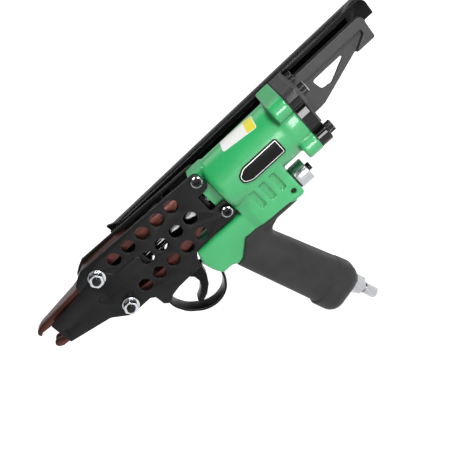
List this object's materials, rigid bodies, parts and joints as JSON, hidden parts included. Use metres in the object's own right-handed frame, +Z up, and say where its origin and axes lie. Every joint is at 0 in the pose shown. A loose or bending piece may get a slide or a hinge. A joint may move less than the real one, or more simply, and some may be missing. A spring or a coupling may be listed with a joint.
{
  "type": "pneumatic c-ring tool",
  "caption": "Hand-held pneumatic c-ring tool: perforated side plates and hooked jaws on a green cylinder body, with a rubber pistol grip and a long side magazine.",
  "frame": {"origin": "on the drive axis, about 3 mm ahead of the tips of the open jaws", "axes": "+X along the drive axis towards the tail, +Y to the magazine side, +Z up away from the grip"},
  "size_m": [0.3358, 0.0624, 0.1906],
  "materials": {
    "painted_green": "gloss enamel",
    "black_steel": "satin black",
    "grey_steel": "satin dark grey",
    "jaw_steel": "oiled brown temper",
    "roller_steel": "ground",
    "chrome": "polished",
    "zinc": "bright zinc plate",
    "black_screw": "black oxide",
    "plug_steel": "turned",
    "gloss_black": "gloss",
    "grip_rubber": "fine matt grain",
    "seal_rubber": "smooth",
    "spring_steel": "drawn wire",
    "aluminium": "machined",
    "bronze": "machined"
  },
  "bodies": {
    "frame": {"air_inlet_plug": "plug_steel", "body_casting": "painted_green", "cap_gasket": "seal_rubber", "cap_screws": "black_screw", "cylinder_cap": "gloss_black", "cylinder_liner": "aluminium", "feed_chute": "black_steel", "front_bumper": "seal_rubber", "grip_sleeve": "grip_rubber", "guard_rivet": "black_steel", "guard_screw": "black_screw", "left_side_plate": "black_steel", "lock_pin": "black_screw", "magazine_channel": "black_steel", "magazine_end_block": "grey_steel", "magazine_front_bracket": "black_steel", "magazine_rear_bracket": "grey_steel", "name_plate": "black_steel", "nose_block": "black_steel", "nose_block_pins": "black_steel", "pivot_bolts": "black_screw", "pivot_nuts": "zinc", "pivot_sleeves": "roller_steel", "pivot_washers": "zinc", "plate_screws": "zinc", "plug_screw": "black_screw", "plug_washer": "seal_rubber", "return_spring": "spring_steel", "right_side_plate": "black_steel", "rod_bush": "bronze", "rod_seal": "seal_rubber", "trigger_guard": "black_steel", "trigger_pin": "black_steel", "trigger_spring": "spring_steel", "trigger_stop_pin": "black_steel", "valve_plug": "plug_steel", "valve_sleeve": "bronze", "valve_spring": "spring_steel"},
    "drive": {"drive_cone": "chrome", "piston_rod": "chrome", "piston": "aluminium", "piston_seal": "seal_rubber"},
    "upper_jaw": {"upper_jaw": "jaw_steel", "upper_roller_pin": "roller_steel", "jaw_springs": "spring_steel"},
    "lower_jaw": {"lower_jaw": "jaw_steel", "lower_roller_pin": "roller_steel"},
    "upper_roller": {"upper_roller": "roller_steel"},
    "lower_roller": {"lower_roller": "roller_steel"},
    "trigger": {"trigger": "black_steel"},
    "valve_stem": {"valve_stem": "chrome"},
    "pusher": {"ring_pusher": "black_steel", "pusher_spring": "spring_steel"}
  },
  "joints": [
    {"name": "piston_slide", "type": "slide", "parent": "frame", "child": "drive", "axis": [-1, 0, 0], "range_m": [0, 0.026], "stiffness_N_per_m": 600, "springref_m": -0.02, "deforming": ["return_spring"]},
    {"name": "upper_jaw_hinge", "type": "hinge", "parent": "frame", "child": "upper_jaw", "pos_m": [0.0715, 0, 0.0154], "axis": [0, -1, 0], "range_deg": [0, 3.9], "deforming": ["jaw_springs"]},
    {"name": "lower_jaw_hinge", "type": "hinge", "parent": "frame", "child": "lower_jaw", "pos_m": [0.0715, 0, -0.0182], "axis": [0, 1, 0], "range_deg": [0, 3.9]},
    {"name": "upper_roller_spin", "type": "hinge", "parent": "upper_jaw", "child": "upper_roller", "pos_m": [0.14, 0, 0.01085], "axis": [0, 1, 0], "range_deg": [0, 300]},
    {"name": "lower_roller_spin", "type": "hinge", "parent": "lower_jaw", "child": "lower_roller", "pos_m": [0.14, 0, -0.01085], "axis": [0, -1, 0], "range_deg": [0, 300]},
    {"name": "trigger_pull", "type": "hinge", "parent": "frame", "child": "trigger", "pos_m": [0.1264, 0, -0.0302], "axis": [0, -1, 0], "range_deg": [0, 16], "stiffness_Nm_per_rad": 0.25, "springref_deg": -28.65},
    {"name": "valve_slide", "type": "slide", "parent": "frame", "child": "valve_stem", "axis": [1, 0, 0], "range_m": [0, 0.0017], "deforming": ["valve_spring"]},
    {"name": "pusher_slide", "type": "slide", "parent": "frame", "child": "pusher", "axis": [1, 0, 0], "range_m": [0, 0.211], "stiffness_N_per_m": 12, "springref_m": -0.35}
  ],
  "couplings": [
    {"joint": "upper_jaw_hinge", "follows": "piston_slide", "rad_per_m": 2.617},
    {"joint": "lower_jaw_hinge", "follows": "piston_slide", "rad_per_m": 2.617},
    {"joint": "upper_roller_spin", "follows": "piston_slide", "rad_per_m": 200},
    {"joint": "lower_roller_spin", "follows": "piston_slide", "rad_per_m": 200},
    {"joint": "valve_slide", "follows": "trigger_pull", "m_per_rad": 0.0059}
  ]
}
